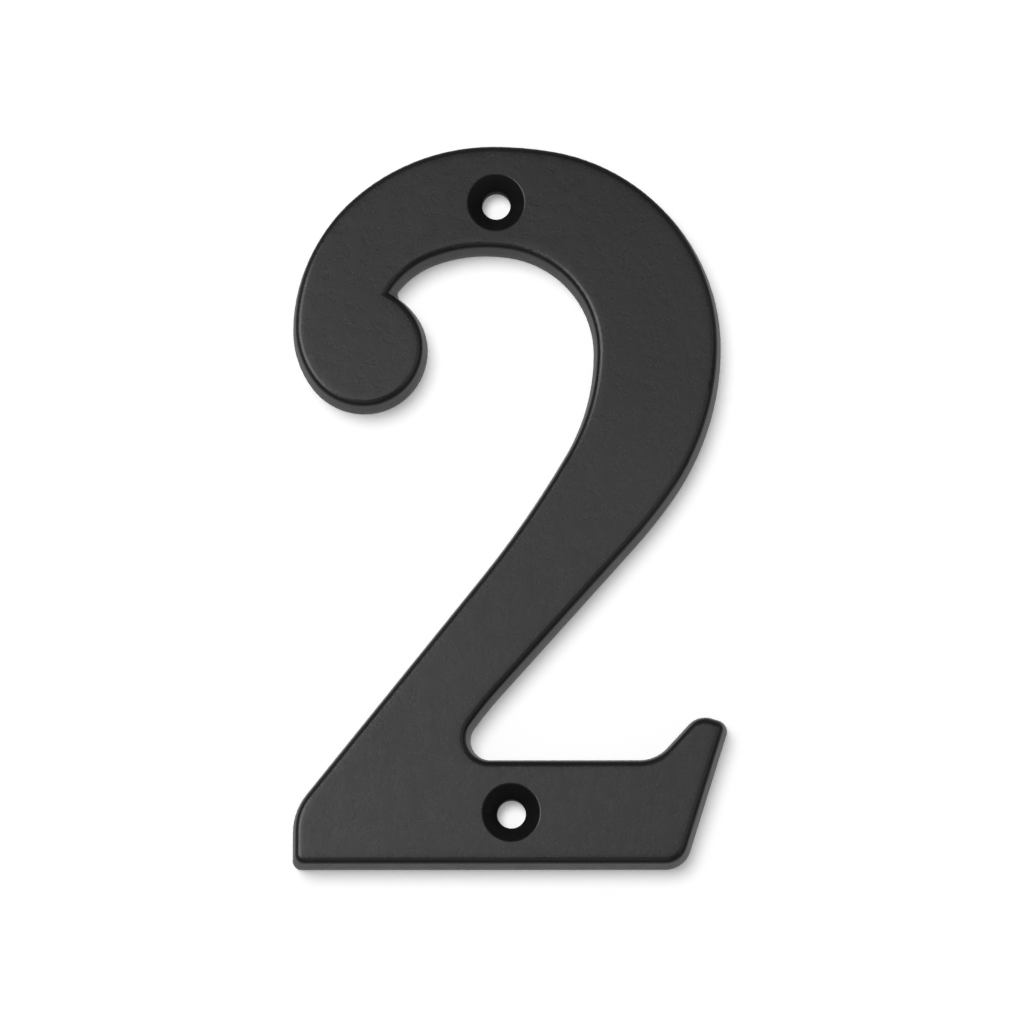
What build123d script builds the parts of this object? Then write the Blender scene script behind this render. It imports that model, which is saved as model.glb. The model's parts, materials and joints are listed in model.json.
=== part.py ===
from build123d import *
import math
import os

# Sizes of the numeral in millimetres and degrees. It is drawn as it is read on the wall, on its back face:
# x runs to the right from the bowl's left side, y runs up from the sole of the foot.

# Casting
HEIGHT = 101.6
THICKNESS = 4.3
DRAFT_ANGLE = 8.4
RIM_RADIUS = 0.85

# Bowl: the outer curve over the top, and the widths of the stroke there
BOWL_WIDTH = 59.8
BOWL_CROWN_X = 27.95
BOWL_LEFT_DROP = 25.95
BOWL_RIGHT_DROP = 28.55
BOWL_RIGHT_SHARE = 0.18
TOP_STROKE = 15.45
RIGHT_STROKE = 17.75

# Counter: the hollow under the bowl, which ends on the left in a cusp above the ball. The cusp is sharp at the
# front, and a web fills its corner towards the back.
COUNTER_CROWN_X = 26.8
COUNTER_RIGHT_DROP = 29.5
COUNTER_SHARE = 7.2
CUSP_X = 14.25
CUSP_DROP = 21.15
CUSP_IN_ANGLE = 148
CUSP_OUT_ANGLE = 56
WEB_DEPTH = 0.4
WEB_RADIUS = 1.2

# Ball: the round end of the bowl
BALL_WIDTH = 18.85
BALL_RIGHT_DROP = 28.95
BALL_LOW_X = 10.1
BALL_LOW_DROP = 37.85

# Diagonal: the slanted stroke between the bowl and the foot
LEFT_ANGLE = 51.35
LEFT_STRAIGHT_TOP = 40.5
LEFT_SHARE = 1.4
RIGHT_ANGLE = 48.15
RIGHT_STRAIGHT_TOP = 44.7
RIGHT_STRAIGHT_LOW = 24.1
RIGHT_SHARE = 2.75

# Foot: the bar along the bottom
FOOT_INSET = 0.45
TOE_RADIUS = 1.3
FOOT_HEIGHT = 15.2
ANKLE_HEIGHT = 8.15
ANKLE_RADIUS = 8.45
NOTCH_X = 21.2
NOTCH_STRAIGHT_X = 27.7
NOTCH_SHARE = 0.56

# Serif: the upturned right end of the foot, with its tip cut square to the heel's edge
SERIF_X = 50.65
SERIF_ANGLE = 47.4
SERIF_ROOT_RADIUS = 5.2
SERIF_RUN = 5.85
SERIF_TIP_RADIUS = 3.05
SERIF_CORNER_RADIUS = 1.6
HEEL_X = 54.55
HEEL_ANGLE = 72.65
HEEL_RADIUS = 3.6

# Screw holes, countersunk from the front
HOLE_DIAMETER = 4.0
SINK_DIAMETER = 8.0
SINK_ANGLE = 82
SINK_EDGE_RADIUS = 0.25
UPPER_HOLE_X = 28.45
UPPER_HOLE_DROP = 8.6
LOWER_HOLE_X = 30.7
LOWER_HOLE_RISE = 7.55

# Points that the outline shares with the corner rounds and the holes
TOE = Vector(FOOT_INSET, 0)
CUSP = Vector(CUSP_X, HEIGHT - CUSP_DROP)
UPPER_HOLE = Vector(UPPER_HOLE_X, HEIGHT - UPPER_HOLE_DROP)
LOWER_HOLE = Vector(LOWER_HOLE_X, LOWER_HOLE_RISE)


def heading(angle):
    """Unit vector at an angle in degrees from x towards y."""
    return Vector(1, 0).rotate(Axis.Z, angle)


def rise(point, angle, height):
    """Point at the given height on the line through point at the given angle."""
    return point + heading(angle) * ((height - point.Y) / math.sin(math.radians(angle)))


def arc_pair(start, start_angle, end, end_angle, share=1.0):
    """Two arcs, tangent where they meet, that leave start and reach end at the given angles.

    share is the end tangent's length over the start tangent's: above 1, the first arc is the shorter.
    """
    leave = heading(start_angle)
    arrive = heading(end_angle)
    chord = end - start
    along = chord.dot(leave) + share * chord.dot(arrive)
    bend = 2 * share * (1 - leave.dot(arrive))
    reach = chord.dot(chord) / (along + math.sqrt(along**2 + bend * chord.dot(chord)))
    first = start + leave * reach
    second = end - arrive * reach * share
    meeting = (first * share + second) / (1 + share)
    return [TangentArc(start, meeting, tangent=leave), TangentArc(meeting, end, tangent=second - first)]


def numeral_face():
    """Outline of the back face, counter-clockwise from the top of the diagonal's left edge."""
    notch = Vector(NOTCH_X, FOOT_HEIGHT)
    notch_end = Vector(NOTCH_STRAIGHT_X, FOOT_HEIGHT)
    serif_root = Vector(SERIF_X, FOOT_HEIGHT)
    serif_tip = serif_root + heading(SERIF_ANGLE) * (SERIF_RUN / math.cos(math.radians(SERIF_ANGLE)))
    heel = Vector(HEEL_X, 0)
    tip_height = (serif_tip - heel).dot(heading(HEEL_ANGLE))
    serif_corner = heel + heading(HEEL_ANGLE) * tip_height
    ankle = Vector(FOOT_INSET, ANKLE_HEIGHT)
    left_top = rise(ankle, LEFT_ANGLE, LEFT_STRAIGHT_TOP)
    foot = FilletPolyline(
        [left_top, ankle, TOE, heel, serif_corner, serif_tip, serif_root, notch_end],
        radius=[ANKLE_RADIUS, 0, HEEL_RADIUS, SERIF_CORNER_RADIUS, SERIF_TIP_RADIUS, SERIF_ROOT_RADIUS],
    )

    right_low = rise(notch, RIGHT_ANGLE, RIGHT_STRAIGHT_LOW)
    right_top = rise(notch, RIGHT_ANGLE, RIGHT_STRAIGHT_TOP)
    bowl_right = Vector(BOWL_WIDTH, HEIGHT - BOWL_RIGHT_DROP)
    crown = Vector(BOWL_CROWN_X, HEIGHT)
    bowl_left = Vector(0, HEIGHT - BOWL_LEFT_DROP)
    outside = arc_pair(notch_end, 180, right_low, RIGHT_ANGLE, NOTCH_SHARE)
    outside += [Line(right_low, right_top)]
    outside += arc_pair(right_top, RIGHT_ANGLE, bowl_right, 90, RIGHT_SHARE)
    outside += arc_pair(bowl_right, 90, crown, 180, BOWL_RIGHT_SHARE)
    outside += arc_pair(crown, 180, bowl_left, -90)

    ball_low = Vector(BALL_LOW_X, HEIGHT - BALL_LOW_DROP)
    ball_right = Vector(BALL_WIDTH, HEIGHT - BALL_RIGHT_DROP)
    ball = arc_pair(bowl_left, -90, ball_low, 0)
    ball += arc_pair(ball_low, 0, ball_right, 90)
    ball += arc_pair(ball_right, 90, CUSP, CUSP_IN_ANGLE)

    counter_top = Vector(COUNTER_CROWN_X, HEIGHT - TOP_STROKE)
    counter_right = Vector(BOWL_WIDTH - RIGHT_STROKE, HEIGHT - COUNTER_RIGHT_DROP)
    inside = arc_pair(CUSP, CUSP_OUT_ANGLE, counter_top, 0)
    inside += arc_pair(counter_top, 0, counter_right, -90, COUNTER_SHARE)
    inside += arc_pair(counter_right, -90, left_top, 180 + LEFT_ANGLE, LEFT_SHARE)
    return make_face(Curve() + [foot] + outside + ball + inside)


def wall_edge(body, corner):
    """The edge that climbs the wall from a sharp corner of the back outline."""
    return body.edges().sort_by_distance(corner)[:3].sort_by(Axis.Z)[-1]


def front_face(body):
    """The flat face that looks away from the wall."""
    return body.faces().sort_by(Axis.Z)[-1]


def cusp_web(body):
    """The metal in the cusp's corner: hollowed round at the back, and run out in a point under the rim."""
    foot, head = wall_edge(body, CUSP).vertices().sort_by(Axis.Z)
    tip = Vector(foot) + (Vector(head) - Vector(foot)) * (1 - RIM_RADIUS / THICKNESS)
    middle_angle = (CUSP_IN_ANGLE + CUSP_OUT_ANGLE) / 2 - 90
    hollow = CUSP + heading(middle_angle) * (WEB_DEPTH + WEB_RADIUS)
    disc = Circle(WEB_RADIUS)
    base = Pos(CUSP.X, CUSP.Y) * disc - Pos(hollow.X, hollow.Y) * disc
    return loft([base.face(), Vertex(tip)])


def casting():
    """The numeral as it leaves the mould: walls that draw in towards the front, and a rounded rim."""
    blank = extrude(numeral_face(), THICKNESS)
    walls = blank.faces().filter_by(Axis.Z, reverse=True)
    body = draft(walls, Plane.XY, DRAFT_ANGLE)
    body += cusp_web(body)
    body = fillet(wall_edge(body, TOE), TOE_RADIUS)
    return fillet(front_face(body).edges(), RIM_RADIUS)


def screw_holes(body):
    """The body with its two countersunk holes, their mouths eased."""
    drill = CounterSinkHole(HOLE_DIAMETER / 2, SINK_DIAMETER / 2, THICKNESS, SINK_ANGLE)
    for place in (UPPER_HOLE, LOWER_HOLE):
        body -= Pos(place.X, place.Y, THICKNESS) * drill
    mouths = [wire.edges() for wire in front_face(body).inner_wires()]
    return fillet(mouths, SINK_EDGE_RADIUS)


def house_number():
    """The finished piece, upright: its back on the wall at y = 0, its origin midway between the holes."""
    middle = (UPPER_HOLE + LOWER_HOLE) / 2
    return Rot(90, 0, 0) * Pos(-middle.X, -middle.Y) * screw_holes(casting())


os.makedirs("parts", exist_ok=True)
export_step(house_number(), "parts/house_number.step")
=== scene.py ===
import json
import math
import bmesh
import bpy
from mathutils import Matrix, Vector


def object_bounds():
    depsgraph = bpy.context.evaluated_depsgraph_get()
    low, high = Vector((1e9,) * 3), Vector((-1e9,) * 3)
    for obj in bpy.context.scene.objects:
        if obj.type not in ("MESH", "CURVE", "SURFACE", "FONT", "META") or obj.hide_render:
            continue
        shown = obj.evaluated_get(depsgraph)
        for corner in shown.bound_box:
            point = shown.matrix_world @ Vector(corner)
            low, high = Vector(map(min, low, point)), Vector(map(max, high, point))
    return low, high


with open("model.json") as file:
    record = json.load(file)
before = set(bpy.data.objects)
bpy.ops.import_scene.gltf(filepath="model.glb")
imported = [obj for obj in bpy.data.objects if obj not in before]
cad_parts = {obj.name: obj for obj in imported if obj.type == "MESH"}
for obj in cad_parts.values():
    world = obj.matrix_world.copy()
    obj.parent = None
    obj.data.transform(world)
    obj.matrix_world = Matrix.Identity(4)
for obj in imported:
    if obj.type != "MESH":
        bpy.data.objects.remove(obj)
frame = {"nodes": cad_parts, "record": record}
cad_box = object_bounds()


# The house number: the numeral two, die-cast in zinc alloy in one piece. It is powder coated matte black
# all over, back and holes included, and two countersunk screws through it hold it flat to a wall.
casting = frame["nodes"]["house_number"]

coat_dark = (0.0050, 0.0050, 0.0052, 1)
coat_light = (0.0080, 0.0080, 0.0082, 1)
coat_smooth = 0.25
coat_rough = 0.31
tooth_size = 0.00028
tooth_depth = 0.00004
flow_size = 0.0022
flow_depth = 0.00004
cloud_size = 0.014
noise_low = 0.3
noise_high = 0.7
shoulder_width = 0.0022
shoulder_share = 0.18
shoulder_start = 0.0055
shoulder_full = 0.0075

powder_coat = bpy.data.materials.new("powder_coat_black")
powder_coat.use_nodes = True
coat_tree = powder_coat.node_tree
coat = coat_tree.nodes["Principled BSDF"]
coat.inputs["IOR"].default_value = 1.5


def add_node(tree, kind, **inputs):
    """A new node of a material, with the values of its named inputs."""
    node = tree.nodes.new("ShaderNode" + kind)
    for name, value in inputs.items():
        node.inputs[name.replace("_", " ")].default_value = value
    return node


def grain(tree, place, size, detail):
    """Noise whose lumps are about as large as size, in metres."""
    noise = add_node(tree, "TexNoise", Scale=1 / size, Detail=detail, Roughness=0.55)
    tree.links.new(place.outputs["Object"], noise.inputs["Vector"])
    return noise.outputs["Fac"]


def spread(tree, value, start, end, low, high):
    """Goes from low to high as the value goes from start to end, and no further."""
    span = add_node(tree, "MapRange", From_Min=start, From_Max=end, To_Min=low, To_Max=high)
    tree.links.new(value, span.inputs["Value"])
    return span.outputs["Result"]


def reckon(tree, operation, first, second):
    """The named sum of two values, each a number or the output of another node."""
    node = add_node(tree, "Math")
    node.operation = operation
    for socket, value in zip(node.inputs, (first, second)):
        if isinstance(value, bpy.types.NodeSocket):
            tree.links.new(value, socket)
        else:
            socket.default_value = value
    return node.outputs["Value"]


def hole_distance(tree, place):
    """How far a point is from the middle of the nearer screw hole, in metres."""
    distances = []
    for mount in frame["record"]["mounts"]:
        if mount["kind"] == "bore":
            to_hole = add_node(tree, "VectorMath")
            to_hole.operation = "DISTANCE"
            to_hole.inputs[1].default_value = mount["pos_m"]
            tree.links.new(place.outputs["Object"], to_hole.inputs[0])
            distances.append(to_hole.outputs["Value"])
    upper, lower = distances
    return reckon(tree, "MINIMUM", upper, lower)


coat_place = add_node(coat_tree, "TexCoord")
tooth = grain(coat_tree, coat_place, tooth_size, detail=3)
flow = grain(coat_tree, coat_place, flow_size, detail=2)
cloud = grain(coat_tree, coat_place, cloud_size, detail=2)

coat_tint = add_node(coat_tree, "ValToRGB")
dark_end, light_end = coat_tint.color_ramp.elements
dark_end.position = noise_low
dark_end.color = coat_dark
light_end.position = noise_high
light_end.color = coat_light
coat_tree.links.new(cloud, coat_tint.inputs["Fac"])
coat_tree.links.new(coat_tint.outputs["Color"], coat.inputs["Base Color"])
coat_gloss = spread(coat_tree, flow, noise_low, noise_high, coat_smooth, coat_rough)
coat_tree.links.new(coat_gloss, coat.inputs["Roughness"])

# The coat draws back from the rim as it melts, so the face falls off softly towards it. Round the screw
# holes the edges stay crisp.
shoulder = add_node(coat_tree, "Bevel", Radius=shoulder_width)
shoulder.samples = 6
surface = add_node(coat_tree, "NewGeometry")
from_hole = hole_distance(coat_tree, coat_place)
draw_back = spread(coat_tree, from_hole, shoulder_start, shoulder_full, 0.0, shoulder_share)
drawn = add_node(coat_tree, "Mix")
drawn.data_type = "VECTOR"
vector_a, vector_b, vector_result = drawn.inputs[4], drawn.inputs[5], drawn.outputs[1]
coat_tree.links.new(draw_back, drawn.inputs["Factor"])
coat_tree.links.new(surface.outputs["Normal"], vector_a)
coat_tree.links.new(shoulder.outputs["Normal"], vector_b)
drawn_normal = add_node(coat_tree, "VectorMath")
drawn_normal.operation = "NORMALIZE"
coat_tree.links.new(vector_result, drawn_normal.inputs[0])

tooth_bump = add_node(coat_tree, "Bump", Strength=0.4, Distance=tooth_depth)
coat_tree.links.new(tooth, tooth_bump.inputs["Height"])
coat_tree.links.new(drawn_normal.outputs["Vector"], tooth_bump.inputs["Normal"])
flow_bump = add_node(coat_tree, "Bump", Strength=0.6, Distance=flow_depth)
coat_tree.links.new(flow, flow_bump.inputs["Height"])
coat_tree.links.new(tooth_bump.outputs["Normal"], flow_bump.inputs["Normal"])
coat_tree.links.new(flow_bump.outputs["Normal"], coat.inputs["Normal"])

for coat_slot in casting.material_slots:
    coat_slot.material = powder_coat


# The wall: a white painted board that the number lies flat against, there only for the picture. It has no
# back: it is clear from behind, and stays clear to light that has come through it, so that the number's
# own back is lit when it is seen from there.
scene = bpy.context.scene
wall_gap = 0.0002
wall_half = 1.5
wall_white = (0.8, 0.8, 0.8, 1)
wall_fill = 0.27
mirrored_wall = 0.39
# Painted shade behind the screw holes in the reflections: how dark it is, and the radii over which it
# fades out.
painted_hole_shade = 0.05
hole_shade_inside = 0.002
hole_shade_outside = 0.003

wall_mesh = bpy.data.meshes.new("wall")
sheet = bmesh.new()
bmesh.ops.create_grid(sheet, x_segments=1, y_segments=1, size=wall_half)
bmesh.ops.rotate(sheet, verts=sheet.verts, matrix=Matrix.Rotation(math.radians(90), 3, "X"))
bmesh.ops.translate(sheet, verts=sheet.verts, vec=(0, cad_box[1].y + wall_gap, 0))
sheet.to_mesh(wall_mesh)
sheet.free()
wall = bpy.data.objects.new("wall", wall_mesh)
scene.collection.objects.link(wall)

wall_paint = bpy.data.materials.new("wall_white")
wall_paint.use_nodes = True
wall_mesh.materials.append(wall_paint)
wall_tree = wall_paint.node_tree
wall_tree.nodes.remove(wall_tree.nodes["Principled BSDF"])
wall_light = add_node(wall_tree, "LightPath")
wall_side = add_node(wall_tree, "NewGeometry")

# To the camera the lit paint is lifted to white by a little light of its own.
paint = add_node(wall_tree, "BsdfDiffuse", Color=wall_white)
fill = add_node(wall_tree, "Emission")
fill_level = reckon(wall_tree, "MULTIPLY", wall_light.outputs["Is Camera Ray"], wall_fill)
wall_tree.links.new(fill_level, fill.inputs["Strength"])
lit = add_node(wall_tree, "AddShader")
wall_tree.links.new(paint.outputs["BSDF"], lit.inputs[0])
wall_tree.links.new(fill.outputs["Emission"], lit.inputs[1])

# In the coat's reflections the wall glows with a light of its own, as bright as the shadow next to the
# number.
# Behind the screw holes that glow is painted dark, a painted shade that stands in for the shade inside the
# bores.
wall_place = add_node(wall_tree, "TexCoord")
hole_shade_distance = hole_distance(wall_tree, wall_place)
mirrored_level_and_hole_shade = spread(wall_tree, hole_shade_distance, hole_shade_inside, hole_shade_outside, painted_hole_shade, mirrored_wall)
mirrored = add_node(wall_tree, "Emission")
wall_tree.links.new(mirrored_level_and_hole_shade, mirrored.inputs["Strength"])
seen = add_node(wall_tree, "MixShader")
wall_tree.links.new(wall_light.outputs["Is Glossy Ray"], seen.inputs["Fac"])
wall_tree.links.new(lit.outputs["Shader"], seen.inputs[1])
wall_tree.links.new(mirrored.outputs["Emission"], seen.inputs[2])

come_through = wall_light.outputs["Transparent Depth"]
open_side = reckon(wall_tree, "MAXIMUM", wall_side.outputs["Backfacing"], come_through)
open_side.node.use_clamp = True
clear = add_node(wall_tree, "BsdfTransparent")
one_sided = add_node(wall_tree, "MixShader")
wall_tree.links.new(open_side, one_sided.inputs["Fac"])
wall_tree.links.new(seen.outputs["Shader"], one_sided.inputs[1])
wall_tree.links.new(clear.outputs["BSDF"], one_sided.inputs[2])
wall_tree.links.new(one_sided.outputs["Shader"], wall_tree.nodes["Material Output"].inputs["Surface"])


# The studio: one lamp high on the left lights the wall and throws the shadow. Soft boxes that show only as
# reflections shade the coat, the strongest of them on the left. The room is white to the camera and behind
# the wall, where it lights the number's back, and dim in front.
room_dim = 0.16
room_white = 1.0


def soft_box(name, polar, clock, wide, tall, watts, reach=1.0):
    """An oval soft box: polar is its angle from straight ahead, clock from the top, reach its distance."""
    tilt = math.radians(polar)
    turn = math.radians(clock)
    away = Vector((math.sin(tilt) * math.sin(turn), -math.cos(tilt), math.sin(tilt) * math.cos(turn)))
    data = bpy.data.lights.new(name, "AREA")
    data.shape = "ELLIPSE"
    data.size = wide
    data.size_y = tall
    data.energy = watts
    lamp = bpy.data.objects.new(name, data)
    facing = away.to_track_quat("Z", "Y").to_matrix().to_4x4()
    lamp.matrix_world = Matrix.Translation(away * reach) @ facing
    scene.collection.objects.link(lamp)
    return lamp


key = soft_box("key", polar=24, clock=322, wide=1.9, tall=1.9, watts=84, reach=3.0)
key.visible_glossy = False
mirrors = [
    soft_box("left_bank", polar=35, clock=277, wide=0.70, tall=0.66, watts=4.7),
    soft_box("left_low", polar=34, clock=228, wide=0.35, tall=0.35, watts=0.4),
    soft_box("right_bank", polar=36, clock=90, wide=0.45, tall=1.0, watts=0.72),
    soft_box("front_left", polar=13, clock=277, wide=0.25, tall=0.38, watts=0.40),
    soft_box("front", polar=10, clock=12, wide=0.55, tall=0.16, watts=0.205),
    soft_box("front_low", polar=2, clock=0, wide=0.40, tall=0.12, watts=0.19),
    soft_box("low", polar=40, clock=180, wide=0.35, tall=0.30, watts=0.2),
]
for mirror in mirrors:
    mirror.visible_diffuse = False

room = bpy.data.worlds.new("room")
scene.world = room
room.use_nodes = True
room_tree = room.node_tree
room_light = add_node(room_tree, "LightPath")
room_place = add_node(room_tree, "TexCoord")
room_axes = add_node(room_tree, "SeparateXYZ")
room_tree.links.new(room_place.outputs["Generated"], room_axes.inputs["Vector"])
behind = reckon(room_tree, "GREATER_THAN", room_axes.outputs["Y"], 0.0)
white_side = reckon(room_tree, "MAXIMUM", behind, room_light.outputs["Is Camera Ray"])
room_level = spread(room_tree, white_side, 0.0, 1.0, room_dim, room_white)
backdrop = room_tree.nodes["Background"]
backdrop.inputs["Color"].default_value = (1, 1, 1, 1)
room_tree.links.new(room_level, backdrop.inputs["Strength"])


# The camera: a long lens some 0.8 m away, a little below the number and to its right, aimed at its middle.
# It stands and turns so that the numeral's outline falls where the photograph has it.
camera_data = bpy.data.cameras.new("camera")
camera_data.lens = 210.02
camera_data.sensor_width = 36
camera_place = Vector((0.020069, -0.822144, -0.123925))
camera_aim = Vector((0.001187, -0.003808, -0.000911))
camera_roll = math.radians(0.0887)
camera = bpy.data.objects.new("camera", camera_data)
camera_look = (camera_aim - camera_place).to_track_quat("-Z", "Y").to_matrix()
camera_turn = camera_look @ Matrix.Rotation(camera_roll, 3, "Z")
camera.matrix_world = Matrix.Translation(camera_place) @ camera_turn.to_4x4()
scene.collection.objects.link(camera)
scene.camera = camera
scene.view_settings.view_transform = "Standard"
